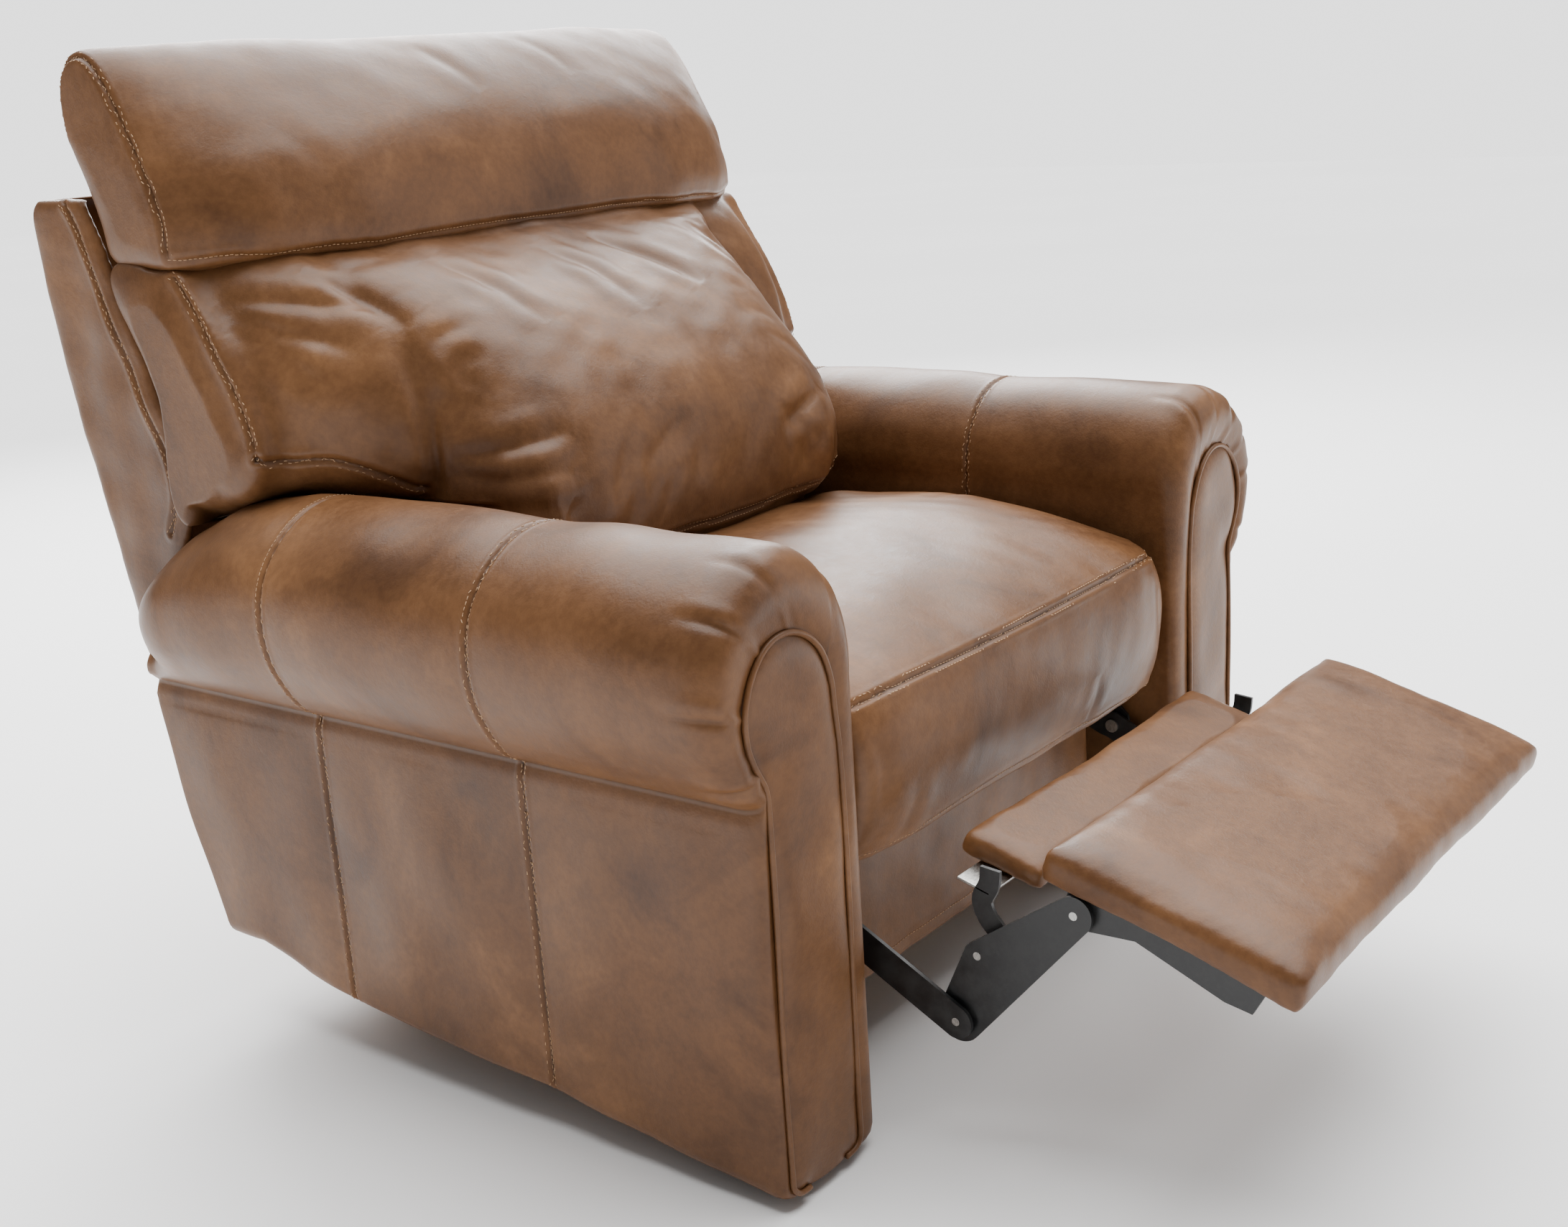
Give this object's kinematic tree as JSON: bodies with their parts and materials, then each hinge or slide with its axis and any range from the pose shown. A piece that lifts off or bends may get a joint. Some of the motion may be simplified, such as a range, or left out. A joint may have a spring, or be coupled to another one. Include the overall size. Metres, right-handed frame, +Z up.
{
  "type": "recliner armchair",
  "caption": "Rolled-arm leather recliner with a deep pillow back, an upholstered footrest on a folding steel linkage and a push-back reclining seat.",
  "frame": {"origin": "middle of the overall box's footprint, on the floor", "axes": "+Z up, the chair faces -Y, +X to the right seen from the front"},
  "size_m": [1.067, 1.4012, 1.0784],
  "materials": {
    "leather": "antiqued mottled brown leather",
    "wood": "unfinished hardwood and plywood",
    "black_steel": "satin black paint",
    "zinc": "zinc plated",
    "webbing": "woven elastic webbing",
    "plastic": "moulded, matt"
  },
  "bodies": {
    "base": {"arm_frame_L": "wood", "arm_frame_R": "wood", "arm_inner_panel_L": "leather", "arm_inner_panel_R": "leather", "arm_outer_panel_L": "leather", "arm_outer_panel_R": "leather", "arm_roll_L": "leather", "arm_roll_R": "leather", "base_plate_L": "black_steel", "base_plate_R": "black_steel", "base_rail_front": "wood", "base_rail_rear": "wood", "base_rivets": "zinc", "base_runner_L": "wood", "base_runner_R": "wood", "floor_glides": "plastic", "front_facing_L": "leather", "front_facing_R": "leather", "rear_lower_panel": "leather"},
    "front_swing_links": {"front_swing_links": "black_steel"},
    "rear_swing_links": {"rear_swing_links": "black_steel"},
    "seat": {"seat_apron": "leather", "seat_cushion": "leather", "seat_front_rail": "wood", "seat_plate_L": "black_steel", "seat_plate_R": "black_steel", "seat_rear_rail": "wood", "seat_rivets": "zinc", "seat_side_rail_L": "wood", "seat_side_rail_R": "wood", "seat_webbing": "webbing"},
    "rear_footrest_links": {"rear_footrest_link_L": "black_steel", "rear_footrest_link_R": "black_steel", "knee_rivets": "zinc"},
    "wide_footrest_links": {"wide_footrest_link_L": "black_steel", "wide_footrest_link_R": "black_steel", "wide_link_rivets": "zinc"},
    "footrest": {"footrest_pad": "leather", "footrest_board": "wood", "footrest_bracket_L": "black_steel", "footrest_bracket_R": "black_steel", "footrest_eyelets": "plastic"},
    "flipper": {"flipper_pad": "leather", "flipper_board": "wood", "flipper_strap_L": "black_steel", "flipper_strap_R": "black_steel"},
    "back": {"back_bottom_rail": "wood", "back_bracket_L": "black_steel", "back_bracket_R": "black_steel", "back_cushion": "leather", "back_post_L": "wood", "back_post_R": "wood", "back_side_band_L": "leather", "back_side_band_R": "leather", "back_skirt": "leather", "back_top_rail": "wood", "back_webbing": "webbing", "back_wings": "wood", "head_bolster": "leather", "outer_back_panel": "leather"}
  },
  "joints": [
    {"name": "back_recline", "type": "hinge", "parent": "base", "child": "back", "pos_m": [0, 0.4376, 0.352], "axis": [-1, 0, 0], "range_deg": [0, 25]},
    {"name": "front_swing", "type": "hinge", "parent": "base", "child": "front_swing_links", "pos_m": [0, -0.0474, 0.2], "axis": [1, 0, 0], "range_deg": [0, 45]},
    {"name": "rear_swing", "type": "hinge", "parent": "base", "child": "rear_swing_links", "pos_m": [0, 0.1326, 0.2], "axis": [1, 0, 0], "range_deg": [0, 45]},
    {"name": "seat_level", "type": "hinge", "parent": "front_swing_links", "child": "seat", "pos_m": [0, -0.0014, 0.2386], "axis": [1, 0, 0], "range_deg": [-45, 0]},
    {"name": "footrest_fold", "type": "hinge", "parent": "seat", "child": "rear_footrest_links", "pos_m": [0, -0.2084, 0.219], "axis": [1, 0, 0], "range_deg": [0, 78.1]},
    {"name": "knee", "type": "hinge", "parent": "rear_footrest_links", "child": "wide_footrest_links", "pos_m": [0, -0.3584, 0.139], "axis": [1, 0, 0], "range_deg": [-103.8, 0]},
    {"name": "footrest_tilt", "type": "hinge", "parent": "wide_footrest_links", "child": "footrest", "pos_m": [0, -0.4804, 0.271], "axis": [1, 0, 0], "range_deg": [0, 99.7]},
    {"name": "flipper_tilt", "type": "hinge", "parent": "wide_footrest_links", "child": "flipper", "pos_m": [0, -0.3794, 0.208], "axis": [1, 0, 0], "range_deg": [0, 99.7]}
  ],
  "couplings": [
    {"joint": "front_swing", "follows": "back_recline", "ratio": 1.8},
    {"joint": "rear_swing", "follows": "back_recline", "ratio": 1.8},
    {"joint": "seat_level", "follows": "back_recline", "ratio": -1.8},
    {"joint": "knee", "follows": "footrest_fold", "ratio": -1.329},
    {"joint": "footrest_tilt", "follows": "footrest_fold", "ratio": 1.2765},
    {"joint": "flipper_tilt", "follows": "footrest_fold", "ratio": 1.2765}
  ]
}
